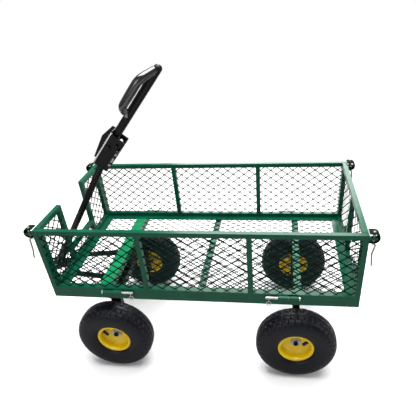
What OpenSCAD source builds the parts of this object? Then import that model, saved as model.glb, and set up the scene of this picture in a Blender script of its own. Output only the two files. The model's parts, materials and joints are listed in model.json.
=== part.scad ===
// Garden cart with a steel mesh bed, drop sides and a folding pull handle.
// X runs from the handle end to the tailgate, Z up from the ground. Millimetres.

/* [Bed] */
// Length of the bed over its frame
bed_length = 950; // [930:5:980]
// Width of the bed over its frame
bed_width = 484; // [476:2:500]
// Height of the bed frame's underside above the ground
bed_height = 315; // [312:1:325]
// Height of the bed frame's outer flange
bed_rail = 25; // [22:1:28]
// Width of the bed frame's top flange
bed_flange = 38; // [30:1:45]
// Thickness of the steel in the bed frame
bed_steel = 3; // [2:0.5:4]
// Width of the cross member over the front axle
member_width = 40; // [36:1:44]

/* [Panels] */
// Height of the side and end panels
panel_height = 225; // [210:5:235]
// Width of the square tube in the panels
panel_tube = 15; // [14:1:16]
// Distance between the two inner posts of the handle notch
notch_width = 167; // [160:1:180]
// Height of the notch's floor above the foot of the panel
notch_floor = 65; // [58:1:66]
// Distance of the side panels' inner posts from mid length
post_x = 160; // [140:5:180]
// Long diagonal of one mesh diamond
diamond_long = 80; // [60:5:100]
// Short diagonal of one mesh diamond
diamond_short = 60; // [45:5:75]
// Width of a mesh strand
strand = 4; // [3:0.5:6]
// Width of the plain edge round each sheet of mesh
mesh_edge = 2; // [1:0.5:4]
// Thickness of the mesh
mesh_steel = 2; // [1.5:0.5:2.5]

/* [Hinges and latches] */
// Radius of the panel hinge pins
hinge_pin_r = 4; // [3.5:0.1:4]
// Outer radius of the hinge knuckles
knuckle_r = 7; // [6.5:0.1:7]
// Distance of the long sides' hinges from mid length
hinge_x = 271; // [240:1:290]
// Distance of the tailgate's hinges from the centre line
tailgate_hinge_y = 110; // [90:5:130]
// Radius of the latch rods
latch_rod_r = 4; // [3:0.5:4]
// Reach of the latch brackets past the end panels
latch_reach = 28; // [26:1:30]

/* [Wheels] */
// Outer radius of the tyres
tyre_r = 130; // [127:1:131]
// Width of the tyres
tyre_width = 84; // [78:1:86]
// Distance between the middle planes of a pair of wheels
track = 440; // [436:1:446]
// Distance of the front axle ahead of mid length
front_axle = 315; // [305:1:325]
// Distance of the rear axle behind mid length
rear_axle = 300; // [290:1:320]
// Radius of the axles
axle_r = 7.95; // [7.9:0.01:7.98]
// Running clearance on a radius
running = 0.07; // [0.04:0.01:0.1]

/* [Handle] */
// Distance of the tongue's pivot ahead of mid length
tongue_pivot = 600; // [590:1:610]
// Height of the tongue's pivot above the ground
tongue_pivot_z = 262; // [260:1:265]
// Slope of the raised tongue, from level
tongue_slope = 56; // [55:0.5:58]
// Radius of the tongue tube
tongue_r = 11; // [10:0.5:12]
// Distance from the tongue's pivot to the coupler
coupler_at = 490; // [470:5:500]
// Angle by which the coupler and grip lean away from the tongue
coupler_set = 6.8; // [4:0.1:8]
// Length of the coupler
coupler_length = 131; // [125:1:135]
// Depth of the coupler's side plates
coupler_depth = 50; // [48:1:54]
// Radius of the upper tube
shank_r = 12.5; // [12:0.1:12.5]
// Length of the upper tube from its pivot to its tip
shank_length = 299; // [285:1:310]
// Radius of the grip sleeve at its thickest
grip_r = 13; // [12:0.5:14]
// Turn of the grip about the upper tube
grip_turn = 55; // [0:5:90]

/* [Hidden] */
$fn = 48;

green = "seagreen";
black = "#222226";
zinc = "silver";
yellow = "gold";
rubber = "#26272b";

lx = bed_length / 2;                    // end faces of the bed
wy = bed_width / 2;                     // side faces of the bed
bed_top = bed_height + bed_rail;        // the panels stand here
panel_top = bed_top + panel_height;
hinge_out = knuckle_r + 0.4;            // hinge axis outside the panel's face
hinge_z = bed_top + 6;
end_half = wy - panel_tube - 1.5;       // half width of the end panels
front_axle_x = -front_axle;
latch_x = lx + 12;                      // latch rod, past the end panel
latch_y = wy - 8;
latch_z = panel_top - 13;               // underside of the side panel's lug
beam_bottom = tongue_pivot_z - 12;      // front axle beam
beam_top = tongue_pivot_z + 13;
beam_half = 17.5;                       // half width of the front axle beam and its legs
drawbar_r = 10;
nose = tongue_pivot - 77;               // cross bar of the drawbar, ahead of mid length
leg_in = 144.5;                         // axle legs, from the centre line
leg_out = 164.5;
hub_in = 165;                           // hub, from the centre line
hub_out = track / 2 + 2;
lug_in = tongue_r + 0.4;                // yoke lugs
lug_out = lug_in + 6;
channel_in = 19;                        // inside of the coupler's side plates
channel_out = 22;
fold_x = 76;                            // fold bolt, along and below the coupler's front edge
fold_z = -15.2;
hitch_pin_y = -channel_out - 6;
hitch_pin_z = -47;
// the origin is under the middle of the whole cart
shift_x = (tongue_pivot + 20 - lx - latch_reach) / 2;

module at_origin() { translate([shift_x, 0, 0]) children(); }

// ---- helpers ----

// A box from its low corner to its high corner
module box(low, high) { translate(low) cube(high - low); }

// The same thing on both sides of the centre line
module both_sides() { children(); mirror([0, 1, 0]) children(); }

// A round bar along Y from y0 to y1
module bar_y(r, y0, y1) { translate([0, y0, 0]) rotate([-90, 0, 0]) cylinder(r = r, h = y1 - y0); }

// A round bar along X from x0 to x1
module bar_x(r, x0, x1) { translate([x0, 0, 0]) rotate([0, 90, 0]) cylinder(r = r, h = x1 - x0); }

// Bent tube in the XY plane: straight runs between corners, with an arc of radius bends[i] at corner i.
function heading(p, i) = atan2(p[i + 1][1] - p[i][1], p[i + 1][0] - p[i][0]);
function turn(p, i) = let (t = heading(p, i) - heading(p, i - 1)) t > 180 ? t - 360 : t < -180 ? t + 360 : t;
function run_off(p, bends, i) = i == 0 || i == len(p) - 1 ? 0 : bends[i] * tan(abs(turn(p, i)) / 2);

// Run i of the tube from share a to share b of its straight part, tapering from r1 to r2
module straight_run(p, bends, i, r1, r2, a = 0, b = 1) {
    start = run_off(p, bends, i);
    span = norm(p[i + 1] - p[i]) - start - run_off(p, bends, i + 1);
    translate(p[i]) rotate([0, 90, heading(p, i)]) translate([0, 0, start + a * span])
        cylinder(r1 = r1, r2 = r2, h = (b - a) * span);
}

// The arc at corner i. It is slightly slimmer than the runs and reaches into both of them.
module corner_arc(p, bends, i, r) {
    way = turn(p, i) > 0 ? 1 : -1;
    reach = 2;
    translate(p[i]) rotate(heading(p, i - 1)) translate([-run_off(p, bends, i), way * bends[i], 0])
        rotate((way > 0 ? -90 : 90 + turn(p, i)) - reach) rotate_extrude(angle = abs(turn(p, i)) + 2 * reach)
            translate([bends[i], 0]) circle(r = r - 0.1);
}

module bent_tube(p, bends, r) {
    for (i = [0 : len(p) - 2]) straight_run(p, bends, i, r, r);
    for (i = [1 : len(p) - 2]) corner_arc(p, bends, i, r);
}

// Flat diamond mesh, w by h, in the XY plane
module diamond_mesh(w, h) {
    half_l = diamond_long / 2;
    half_s = diamond_short / 2;
    linear_extrude(mesh_steel, center = true) difference() {
        square([w, h]);
        intersection() {
            translate([mesh_edge, mesh_edge]) square([w - 2 * mesh_edge, h - 2 * mesh_edge]);
            for (j = [0 : ceil(h / half_s)], i = [0 : ceil(w / diamond_long)])
                translate([(2 * i + j % 2) * half_l, j * half_s])
                    polygon([[half_l - strand, 0], [0, half_s - strand * 0.75],
                             [strand - half_l, 0], [0, strand * 0.75 - half_s]]);
        }
    }
}

// Mesh standing in the XZ plane, centred on y = 0, from corner (x0, z0) to (x1, z1)
module mesh_xz(x0, x1, z0, z1) { translate([x0, 0, z0]) rotate([90, 0, 0]) diamond_mesh(x1 - x0, z1 - z0); }

// Hex head or nut across corners 2r, along Y
module hex_y(r, y0, y1) { translate([0, y0, 0]) rotate([-90, 0, 0]) cylinder(r = r, h = y1 - y0, $fn = 6); }

// ---- bed ----

module bed_frame() {
    color(green) at_origin() difference() {
        box([-lx, -wy, bed_height], [lx, wy, bed_top]);
        box([bed_steel - lx, bed_steel - wy, bed_height - 1],
            [lx - bed_steel, wy - bed_steel, bed_top - bed_steel]);
        box([bed_flange - lx, bed_flange - wy, bed_height], [lx - bed_flange, wy - bed_flange, bed_top + 1]);
        for (x = [-1, 1], y = [-150, 150])
            translate([-lx + panel_tube / 2, y, bed_top - bed_steel - 1]) cylinder(r = 3, h = bed_steel + 2);
    }
}

// Channel across the bed, open below, from x0 to x1 with its top at z1
module channel(x0, x1, z0, z1) {
    difference() {
        box([x0, bed_steel - wy, z0], [x1, wy - bed_steel, z1]);
        box([x0 + bed_steel, 2 * bed_steel - wy, z0 - 1],
            [x1 - bed_steel, wy - 2 * bed_steel, z1 - bed_steel]);
    }
}

// Wide member over the front axle, with its top flush with the bed frame
module front_cross_member() {
    half = member_width / 2;
    color(green) at_origin() {
        channel(front_axle_x - half, front_axle_x + half, bed_height - bed_steel, bed_top - bed_steel);
        box([front_axle_x - half, bed_flange - wy, bed_top - bed_steel],
            [front_axle_x + half, wy - bed_flange, bed_top]);
    }
}

// The two members under the mesh
module cross_members() {
    color(green) at_origin() {
        channel(-10, 10, bed_height, bed_top - bed_steel - mesh_steel);
        channel(rear_axle - 12, rear_axle + 12, bed_height, bed_top - bed_steel - mesh_steel);
    }
}

module bed_mesh() {
    start = bed_flange / 2 - lx;        // half way under the flange at each end
    gap = front_axle_x - member_width / 2;
    color(green) at_origin() translate([0, bed_steel - wy, bed_top - bed_steel - mesh_steel / 2]) {
        translate([start, 0, 0]) diamond_mesh(gap - start, bed_width - 2 * bed_steel);
        translate([gap + member_width, 0, 0])
            diamond_mesh(-start - gap - member_width, bed_width - 2 * bed_steel);
    }
}

// ---- panel hinges: the axis runs along X at y = 0, z = 0, with the panel on the +y side ----

// Ear on the bed: a pointed plate and a knuckle, 31 long, starting at x = 0
module hinge_ear() {
    difference() {
        union() {
            translate([0, hinge_out, 0]) rotate([90, 0, 0]) linear_extrude(3)
                polygon([[0, -6], [31, -6], [22, -27], [18, -31], [13, -31], [9, -27]]);
            box([0, 0, -10], [31, hinge_out, -6.2]);
            box([0, -2, -10], [31, 3, -3]);
            bar_x(knuckle_r, 0, 31);
        }
        bar_x(hinge_pin_r + running, -1, 32);
    }
}

// Knuckle on the panel: 30 long, starting at x = 31.5
module panel_knuckle() {
    difference() {
        union() {
            bar_x(knuckle_r, 31.5, 61.5);
            box([31.5, 0, -4], [61.5, hinge_out + 1, 6]);
        }
        bar_x(hinge_pin_r + running, 31, 62);
    }
}

// Headed pin through ear and knuckle, drilled for its clip
module hinge_pin() {
    difference() {
        union() {
            bar_x(hinge_pin_r, -0.5, 97);
            bar_x(6, -3.5, -0.5);
        }
        translate([88, 0, -6]) cylinder(r = 1.3, h = 12);
    }
}

// Wire clip: a straight leg through the pin and a ring below it
module hair_clip() {
    translate([88, 0, -16]) {
        cylinder(r = 1.2, h = 21.5);
        translate([0, 0, -6]) rotate([90, 0, 0]) rotate_extrude() translate([7, 0]) circle(r = 1.2);
    }
}

// Puts a hinge part at all four places on the long sides and both on the tailgate
module at_side_hinges(side) {
    for (x = [-1, 1]) scale_mirror(x, side) translate([-hinge_x - 31, -wy - hinge_out, hinge_z]) children();
}
module scale_mirror(x, y) { mirror([x > 0 ? 1 : 0, 0, 0]) mirror([0, y > 0 ? 1 : 0, 0]) children(); }
module at_tailgate_hinges() {
    for (y = [-1, 1]) mirror([0, y > 0 ? 1 : 0, 0])
        translate([lx + hinge_out, -tailgate_hinge_y - 31, hinge_z]) rotate([0, 0, 90]) children();
}
module at_all_hinges() {
    at_side_hinges(-1) children();
    at_side_hinges(1) children();
    at_tailgate_hinges() children();
}

module hinge_ears() { color(green) at_origin() at_all_hinges() hinge_ear(); }
module hinge_pins() { color(zinc) at_origin() at_all_hinges() hinge_pin(); }
module hair_clips() { color(zinc) at_origin() at_all_hinges() hair_clip(); }

// ---- side panels: drawn on the near side ----

module side_frame() {
    difference() {
        box([-lx, -wy, bed_top], [lx, panel_tube - wy, panel_top]);
        for (x = [-1, 0, 1]) {
            low = x < 0 ? panel_tube - lx
                : x * (post_x + panel_tube / 2) - (x == 0 ? post_x - panel_tube / 2 : 0);
            high = x > 0 ? lx - panel_tube
                : x * (post_x + panel_tube / 2) + (x == 0 ? post_x - panel_tube / 2 : 0);
            box([low, -wy - 1, bed_top + panel_tube], [high, panel_tube - wy + 1, panel_top - panel_tube]);
        }
    }
    // lugs for the latch rods, past the end panels
    for (x = [-1, 1]) mirror([x < 0 ? 1 : 0, 0, 0]) difference() {
        box([lx - 1, -wy, latch_z], [latch_x + 9, panel_tube - wy, latch_z + 5]);
        translate([latch_x, -latch_y, latch_z - 1]) cylinder(r = latch_rod_r + 1, h = 7);
    }
    at_side_hinges(-1) panel_knuckle();
}

module side_mesh() {
    low = bed_top + panel_tube;
    high = panel_top - panel_tube;
    edge = post_x + panel_tube / 2;
    translate([0, panel_tube / 2 - wy, 0]) {
        mesh_xz(panel_tube - lx, -edge, low, high);
        mesh_xz(panel_tube - edge, edge - panel_tube, low, high);
        mesh_xz(edge, lx - panel_tube, low, high);
    }
}

module near_side_frame() { color(green) at_origin() side_frame(); }
module near_side_mesh() { color(green) at_origin() side_mesh(); }
module far_side_frame() { color(green) at_origin() mirror([0, 1, 0]) side_frame(); }
module far_side_mesh() { color(green) at_origin() mirror([0, 1, 0]) side_mesh(); }

// ---- end panels: drawn in the plane x = 0, in YZ ----

module mesh_yz(y0, y1, z0, z1) { rotate([0, 0, 90]) mesh_xz(y0, y1, z0, z1); }

// The front panel leaves a notch in which the raised handle rests
module front_panel_frame() {
    x0 = -lx;
    x1 = panel_tube - lx;
    inner = notch_width / 2;
    color(green) at_origin() difference() {
        union() {
            box([x0, -end_half, bed_top], [x1, end_half, bed_top + panel_tube]);
            both_sides() {
                box([x0, end_half - panel_tube, bed_top], [x1, end_half, panel_top]);
                box([x0, inner, bed_top], [x1, inner + panel_tube, panel_top]);
                box([x0, inner, panel_top - panel_tube], [x1, end_half, panel_top]);
            }
            box([x0, -inner - 1, bed_top + notch_floor - panel_tube], [x1, inner + 1, bed_top + notch_floor]);
        }
        for (y = [-150, 150])
            translate([x0 + panel_tube / 2, y, bed_top - 1]) cylinder(r = 3, h = panel_tube + 2);
    }
}

module front_panel_mesh() {
    low = bed_top + panel_tube;
    inner = notch_width / 2;
    color(green) at_origin() translate([panel_tube / 2 - lx, 0, 0]) {
        both_sides() difference() {
            mesh_yz(inner + panel_tube, end_half - panel_tube, low, panel_top - panel_tube);
            translate([0, 150, low - 1]) cylinder(r = 6, h = 5);    // round the bolt heads
        }
        mesh_yz(-inner, inner, low, bed_top + notch_floor - panel_tube);
    }
}

module front_panel_bolts() {
    color(zinc) at_origin() for (y = [-150, 150]) translate([panel_tube / 2 - lx, y, 0]) {
        translate([0, 0, bed_top - 12]) cylinder(r = 3, h = panel_tube + 12);
        translate([0, 0, bed_top + panel_tube]) cylinder(r = 6, h = 4);
        translate([0, 0, bed_top - bed_steel - 6]) rotate(30) cylinder(r = 5, h = 6, $fn = 6);
    }
}

// Strap loop on the corner of an end panel that faces +X at x = 0: two tongues and an outer wall
module latch_bracket() {
    both_sides() difference() {
        union() {
            box([0, end_half - 10, latch_z + 16], [latch_reach, wy - 1, latch_z + 20]);
            box([0, end_half - 10, latch_z - 12], [latch_reach, wy - 1, latch_z - 8]);
            box([latch_reach - 4, end_half - 10, latch_z - 12], [latch_reach, wy - 1, latch_z + 20]);
        }
        translate([latch_x - lx, latch_y, latch_z - 13]) cylinder(r = latch_rod_r + running, h = 34);
    }
}

// Rod at the corner (+X, +Y): straight through the bracket, then a bent tail to pull
module latch_rod() {
    translate([latch_x, latch_y, 0]) {
        translate([0, 0, latch_z - 18]) cylinder(r = latch_rod_r, h = 41);
        translate([0, 0, latch_z]) rotate([90, 0, 0])
            bent_tube([[0, -17], [-1, -57], [4, -89]], [0, 12, 0], 2.6);
    }
}

module front_latch_brackets() {
    color(black) at_origin() mirror([1, 0, 0]) translate([lx, 0, 0]) latch_bracket();
}
module near_front_latch_rod() { color(zinc) at_origin() mirror([1, 0, 0]) mirror([0, 1, 0]) latch_rod(); }
module far_front_latch_rod() { color(zinc) at_origin() mirror([1, 0, 0]) latch_rod(); }
module near_rear_latch_rod() { color(zinc) at_origin() mirror([0, 1, 0]) latch_rod(); }
module far_rear_latch_rod() { color(zinc) at_origin() latch_rod(); }

module tailgate_frame() {
    x0 = lx - panel_tube;
    color(green) at_origin() {
        difference() {
            box([x0, -end_half, bed_top], [lx, end_half, panel_top]);
            for (y = [0, 1]) mirror([0, y, 0])
                box([x0 - 1, panel_tube / 2, bed_top + panel_tube],
                    [lx + 1, end_half - panel_tube, panel_top - panel_tube]);
        }
        at_tailgate_hinges() panel_knuckle();
    }
}

module tailgate_mesh() {
    color(green) at_origin() translate([lx - panel_tube / 2, 0, 0]) both_sides()
        mesh_yz(panel_tube / 2, end_half - panel_tube, bed_top + panel_tube, panel_top - panel_tube);
}

module tailgate_latch_brackets() { color(black) at_origin() translate([lx, 0, 0]) latch_bracket(); }

// ---- rear axle ----

module rear_axle_frame() {
    color(black) at_origin() translate([rear_axle, 0, 0]) difference() {
        union() {
            box([-11, -leg_out, bed_height - 22], [11, leg_out, bed_height]);
            both_sides() box([-11, leg_in, tyre_r - 16], [11, leg_out, bed_height - 22]);
        }
        translate([0, 0, tyre_r]) bar_y(axle_r, -leg_out - 1, leg_out + 1);
    }
}

module axle_end_hole() { both_sides() bar_y(4.5, hub_out, hub_out + 10); }

module rear_axle() {
    color(zinc) at_origin() translate([rear_axle, 0, tyre_r]) difference() {
        bar_y(axle_r, -hub_out - 7, hub_out + 7);
        axle_end_hole();
    }
}

// Washers pressed on the ends of an axle, which keep the hubs on
module washers() {
    both_sides() difference() {
        bar_y(13, hub_out + 0.4, hub_out + 3);
        bar_y(axle_r, hub_out, hub_out + 4);
    }
}

module rear_axle_washers() { color(zinc) at_origin() translate([rear_axle, 0, tyre_r]) washers(); }

// ---- front axle, turning on the kingpin ----

module turntable_upper() {
    color(black) at_origin() translate([front_axle_x, 0, bed_height - 9]) difference() {
        cylinder(r = 45, h = 6);
        translate([0, 0, -1]) cylinder(r = 8, h = 8);
    }
}

module kingpin() {
    color(zinc) at_origin() translate([front_axle_x, 0, 0]) {
        translate([0, 0, beam_bottom - 10]) cylinder(r = 8, h = bed_top - 2 * bed_steel - beam_bottom + 10);
        translate([0, 0, beam_bottom - 10.4]) cylinder(r = 13, h = 10, $fn = 6);
    }
}

module turntable_lower() {
    color(black) at_origin() translate([front_axle_x, 0, 0]) difference() {
        union() {
            translate([0, 0, beam_top]) cylinder(r = 25, h = bed_height - 15 - beam_top);
            translate([0, 0, bed_height - 15.4]) cylinder(r = 45, h = 6);
        }
        translate([0, 0, beam_top - 1]) cylinder(r = 8 + running, h = 60);
    }
}

module front_axle_frame() {
    color(black) at_origin() translate([front_axle_x, 0, 0]) difference() {
        union() {
            box([-beam_half, -leg_out, beam_bottom], [beam_half, leg_out, beam_top]);
            both_sides() box([-beam_half, leg_in, tyre_r - 16], [beam_half, leg_out, beam_bottom]);
        }
        translate([0, 0, beam_bottom - 1]) cylinder(r = 8 + running, h = 40);
        translate([0, 0, tyre_r]) bar_y(axle_r, -leg_out - 1, leg_out + 1);
    }
}

module stub_axles() {
    color(zinc) at_origin() translate([front_axle_x, 0, tyre_r]) difference() {
        both_sides() bar_y(axle_r, leg_in - 6, hub_out + 7);
        axle_end_hole();
    }
}

module front_axle_washers() { color(zinc) at_origin() translate([front_axle_x, 0, tyre_r]) washers(); }

// U-shaped drawbar tube, open to the axle
module drawbar() {
    root = front_axle_x - beam_half;
    color(black) at_origin() difference() {
        translate([0, 0, tongue_pivot_z])
            bent_tube([[root + 3, 80], [-nose, 57], [-nose, -57], [root + 3, -80]],
                      [0, 30, 30, 0], drawbar_r);
        box([root, -leg_out, beam_bottom], [root + 20, leg_out, beam_top]);
    }
}

module drawbar_yoke() {
    color(black) at_origin() translate([0, 0, tongue_pivot_z]) difference() {
        union() {
            both_sides() {
                translate([-tongue_pivot, 0, 0]) bar_y(20, lug_in, lug_out);
                box([-tongue_pivot, lug_in, -11], [-nose, lug_out, 11]);
            }
            box([22 - tongue_pivot, -lug_in - 1, -11], [-nose, lug_in + 1, 11]);
        }
        translate([-nose, 0, 0]) bar_y(drawbar_r, -30, 30);
        translate([-tongue_pivot, 0, 0]) bar_y(6, -30, 30);
    }
}

module yoke_bolt() {
    color(zinc) at_origin() translate([-tongue_pivot, 0, tongue_pivot_z]) {
        bar_y(6, -lug_out, lug_out + 10);
        hex_y(10.5, -lug_out - 7, -lug_out);
        hex_y(10.5, lug_out, lug_out + 8);
    }
}

// ---- handle ----

// Tongue frame: x along the tongue from its pivot, z to its upper face
module on_tongue() {
    at_origin() translate([-tongue_pivot, 0, tongue_pivot_z]) rotate([0, -tongue_slope, 0]) children();
}
// Coupler frame: x along the coupler from its lower edge, z = 0 on its front face
module on_coupler() {
    on_tongue() translate([coupler_at, 0, 0]) rotate([0, coupler_set, 0]) translate([0, 0, 24.8]) children();
}
module on_upper_tube() { on_coupler() translate([fold_x, 0, fold_z]) children(); }

module tongue_tube() {
    color(black) on_tongue() difference() {
        union() {
            bar_x(tongue_r, 8, coupler_at + 44);
            bar_x(15, 32, 100);
            bar_y(14, -tongue_r, tongue_r);
        }
        bar_y(6 + running, -20, 20);
    }
}

module coupler() {
    color(black) {
        difference() {
            on_coupler() union() {
                box([0, -channel_out, -2.5], [coupler_length, channel_out, 0]);
                both_sides() box([0, channel_in, -coupler_depth], [coupler_length - 9, channel_out, 0]);
                box([0, -channel_in, -coupler_depth], [3, channel_in, 0]);
                box([38, -channel_in, -coupler_depth], [41, channel_in, 0]);
                // rings for the hitch pin
                for (x = [38, 64]) translate([0, hitch_pin_y, hitch_pin_z]) bar_x(6.5, x, x + 6);
            }
            on_coupler() {
                translate([fold_x, 0, fold_z]) bar_y(5, -30, 30);
                translate([102, 0, -34.5]) bar_y(5, -30, 30);
                translate([0, hitch_pin_y, hitch_pin_z]) bar_x(4 + running, 30, 80);
            }
            on_tongue() bar_x(tongue_r, coupler_at - 20, coupler_at + 44);
        }
    }
}

// Stiffening fin on the coupler's front face
module coupler_fin() {
    color(black) on_coupler() translate([0, 16, 0]) rotate([90, 0, 0]) linear_extrude(4)
        polygon([[0, 0], [0, 10], [80, 22], [129, 10], [coupler_length, 0]]);
}

module coupler_bolt() {
    color(zinc) on_upper_tube() {
        bar_y(5, -channel_out, channel_out + 9);
        hex_y(8.5, -channel_out - 5.5, -channel_out);
        hex_y(8.5, channel_out, channel_out + 7);
    }
}

// Pin for a towing hitch, stowed in its rings
module hitch_pin() {
    color(zinc) on_coupler() translate([0, hitch_pin_y, hitch_pin_z]) {
        bar_x(4, 28, 84);
    }
}

module hitch_pin_knob() {
    color(black) on_coupler() translate([0, hitch_pin_y, hitch_pin_z]) difference() {
        bar_x(5.9, 80, 92);
        bar_x(4, 79, 84);
    }
}

module upper_tube() {
    color(black) on_upper_tube() difference() {
        union() {
            bar_x(shank_r, 0, shank_length - 12);
            translate([shank_length - 12, 0, 0]) sphere(r = shank_r);
            bar_y(shank_r, -shank_r, shank_r);
            bar_y(9.5, -channel_in + 0.4, channel_in - 0.4);
        }
        bar_y(5 + running, -30, 30);
    }
}

// Grip outline from the upper tube and back to it: [along the tube, out from it], and the bends' radii
bow = [[114, 4], [144, 41], [240, 41], [286, 4]];
bow_bends = [0, 24, 45, 0];
bow_r = 8;
sleeve_end_r = 12;

module on_grip() { on_upper_tube() rotate([grip_turn, 0, 0]) rotate([90, 0, 0]) children(); }

module grip_bow() {
    color(zinc) difference() {
        on_grip() bent_tube(bow, bow_bends, bow_r);
        on_upper_tube() bar_x(shank_r, 60, shank_length - 12);
        on_upper_tube() translate([shank_length - 12, 0, 0]) sphere(r = shank_r);
    }
}

// Thick in the middle of its straight run
module grip_sleeve() {
    color(black) on_grip() difference() {
        union() {
            straight_run(bow, bow_bends, 0, sleeve_end_r, sleeve_end_r, 0.68, 1);
            for (i = [1, 2]) corner_arc(bow, bow_bends, i, sleeve_end_r);
            straight_run(bow, bow_bends, 1, sleeve_end_r, grip_r, 0, 0.5);
            straight_run(bow, bow_bends, 1, grip_r, sleeve_end_r, 0.5, 1);
            straight_run(bow, bow_bends, 2, sleeve_end_r, sleeve_end_r, 0, 0.22);
        }
        bent_tube(bow, bow_bends, bow_r);
    }
}

// ---- wheels: drawn with the axle along Y and the outer side towards +Y ----

// Outline of the tyre's section, as [across, radius]: crown and shoulders, then sidewalls
function crown(w, low, high, a) =
    [w * pow(abs(cos(a)), 0.7) * sign(cos(a)), low + (high - low) * pow(sin(a), 0.8)];
tyre_waist = 92;
tyre_outline = concat(
    [for (a = [0 : 9 : 180]) crown(tyre_width / 2, tyre_waist, tyre_r, a)],
    [for (b = [15 : 15 : 90]) [-27 - (tyre_width / 2 - 27) * cos(b), tyre_waist - 34 * sin(b)]],
    [[-26.8, 50.6], [-14, 50.6]],
    [for (b = [90 : -15 : 0]) [-18 - (tyre_width / 2 - 24) * cos(b), tyre_waist - 32 * sin(b)]],
    [for (a = [171 : -9 : 9]) crown(tyre_width / 2 - 6, tyre_waist, tyre_r - 9, a)],
    [for (b = [0 : 15 : 90]) [18 + (tyre_width / 2 - 24) * cos(b), tyre_waist - 32 * sin(b)]],
    [[14, 50.6], [26.8, 50.6]],
    [for (b = [90 : -15 : 15]) [27 + (tyre_width / 2 - 27) * cos(b), tyre_waist - 34 * sin(b)]]
);

module about_axle() { rotate([-90, 0, 0]) rotate_extrude($fn = 96) rotate(90) mirror([0, 1]) children(); }

module tyre() { color(rubber) about_axle() polygon(tyre_outline); }

// Two pressed halves joined at the web, with curled flanges
rim_outline = [
    [-28.9, 57.4], [-27.2, 57.9], [-27.2, 50.6], [27.2, 50.6], [27.2, 57.9], [28.9, 57.4],
    [28.9, 50], [26, 48.4],
    [5, 48.4], [2.5, 45], [0, 36], [-2, 24], [-1, 17], [-6, 17], [-6, 24], [-4, 36], [-1.5, 45], [-5, 48.4],
    [-26, 48.4], [-28.9, 50],
];

// Along the valve, which points at the hub and a little outwards
module on_valve() { rotate([0, -24, 0]) translate([48.5, 9, 0]) rotate(-22) children(); }

module rim() {
    color(yellow) difference() {
        about_axle() polygon(rim_outline);
        on_valve() bar_x(4.3, -8, 8);
    }
}

module hub() {
    color(zinc) difference() {
        bar_y(17, hub_in - track / 2, hub_out - track / 2);
        bar_y(axle_r + running, -80, 80);
    }
}

// Inner tube with its valve, which comes through the rim and points at the hub
module inner_tube() {
    color(rubber) {
        difference() {
            rotate([-90, 0, 0]) rotate_extrude($fn = 96) translate([90, 0]) circle(r = 29);
            rotate([-90, 0, 0]) rotate_extrude($fn = 96) translate([90, 0]) circle(r = 26.5);
        }
        on_valve() difference() {
            bar_x(4, -26, 15);
            bar_x(1.2, -27, -20);
        }
    }
}

module wheel_place(x, side) {
    at_origin() translate([x, side * track / 2, tyre_r]) mirror([0, side < 0 ? 1 : 0, 0]) children();
}

module near_front_tyre() { wheel_place(front_axle_x, -1) tyre(); }
module near_front_rim() { wheel_place(front_axle_x, -1) mirror([1, 0, 0]) rim(); }
module near_front_hub() { wheel_place(front_axle_x, -1) hub(); }
module near_front_inner_tube() { wheel_place(front_axle_x, -1) mirror([1, 0, 0]) inner_tube(); }
module far_front_tyre() { wheel_place(front_axle_x, 1) tyre(); }
module far_front_rim() { wheel_place(front_axle_x, 1) rim(); }
module far_front_hub() { wheel_place(front_axle_x, 1) hub(); }
module far_front_inner_tube() { wheel_place(front_axle_x, 1) inner_tube(); }
module near_rear_tyre() { wheel_place(rear_axle, -1) tyre(); }
module near_rear_rim() { wheel_place(rear_axle, -1) rim(); }
module near_rear_hub() { wheel_place(rear_axle, -1) hub(); }
module near_rear_inner_tube() { wheel_place(rear_axle, -1) inner_tube(); }
module far_rear_tyre() { wheel_place(rear_axle, 1) tyre(); }
module far_rear_rim() { wheel_place(rear_axle, 1) rim(); }
module far_rear_hub() { wheel_place(rear_axle, 1) hub(); }
module far_rear_inner_tube() { wheel_place(rear_axle, 1) inner_tube(); }

bed_frame();
front_cross_member();
cross_members();
bed_mesh();
hinge_ears();
hinge_pins();
hair_clips();
front_panel_frame();
front_panel_mesh();
front_panel_bolts();
front_latch_brackets();
turntable_upper();
kingpin();
rear_axle_frame();
rear_axle();
rear_axle_washers();
near_side_frame();
near_side_mesh();
far_side_frame();
far_side_mesh();
tailgate_frame();
tailgate_mesh();
tailgate_latch_brackets();
near_front_latch_rod();
far_front_latch_rod();
near_rear_latch_rod();
far_rear_latch_rod();
turntable_lower();
front_axle_frame();
stub_axles();
front_axle_washers();
drawbar();
drawbar_yoke();
yoke_bolt();
tongue_tube();
coupler();
coupler_fin();
coupler_bolt();
hitch_pin();
hitch_pin_knob();
upper_tube();
grip_bow();
grip_sleeve();
near_front_tyre();
near_front_rim();
near_front_hub();
near_front_inner_tube();
far_front_tyre();
far_front_rim();
far_front_hub();
far_front_inner_tube();
near_rear_tyre();
near_rear_rim();
near_rear_hub();
near_rear_inner_tube();
far_rear_tyre();
far_rear_rim();
far_rear_hub();
far_rear_inner_tube();
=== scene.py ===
# %% [markdown]
# # A steel garden cart
# The cart is a welded steel bed with a mesh floor, mesh sides that fold down, four air-filled wheels
# and a folding pull handle. The solid model gives every place and size. This script gives it its looks:
# rounded edges, expanded mesh, tyre tread, pressed rims, bent tubes and the finishes.

# %% Load the frame
import json
import math
import bmesh
import bpy
import numpy as np
from mathutils import Matrix, Vector


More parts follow.
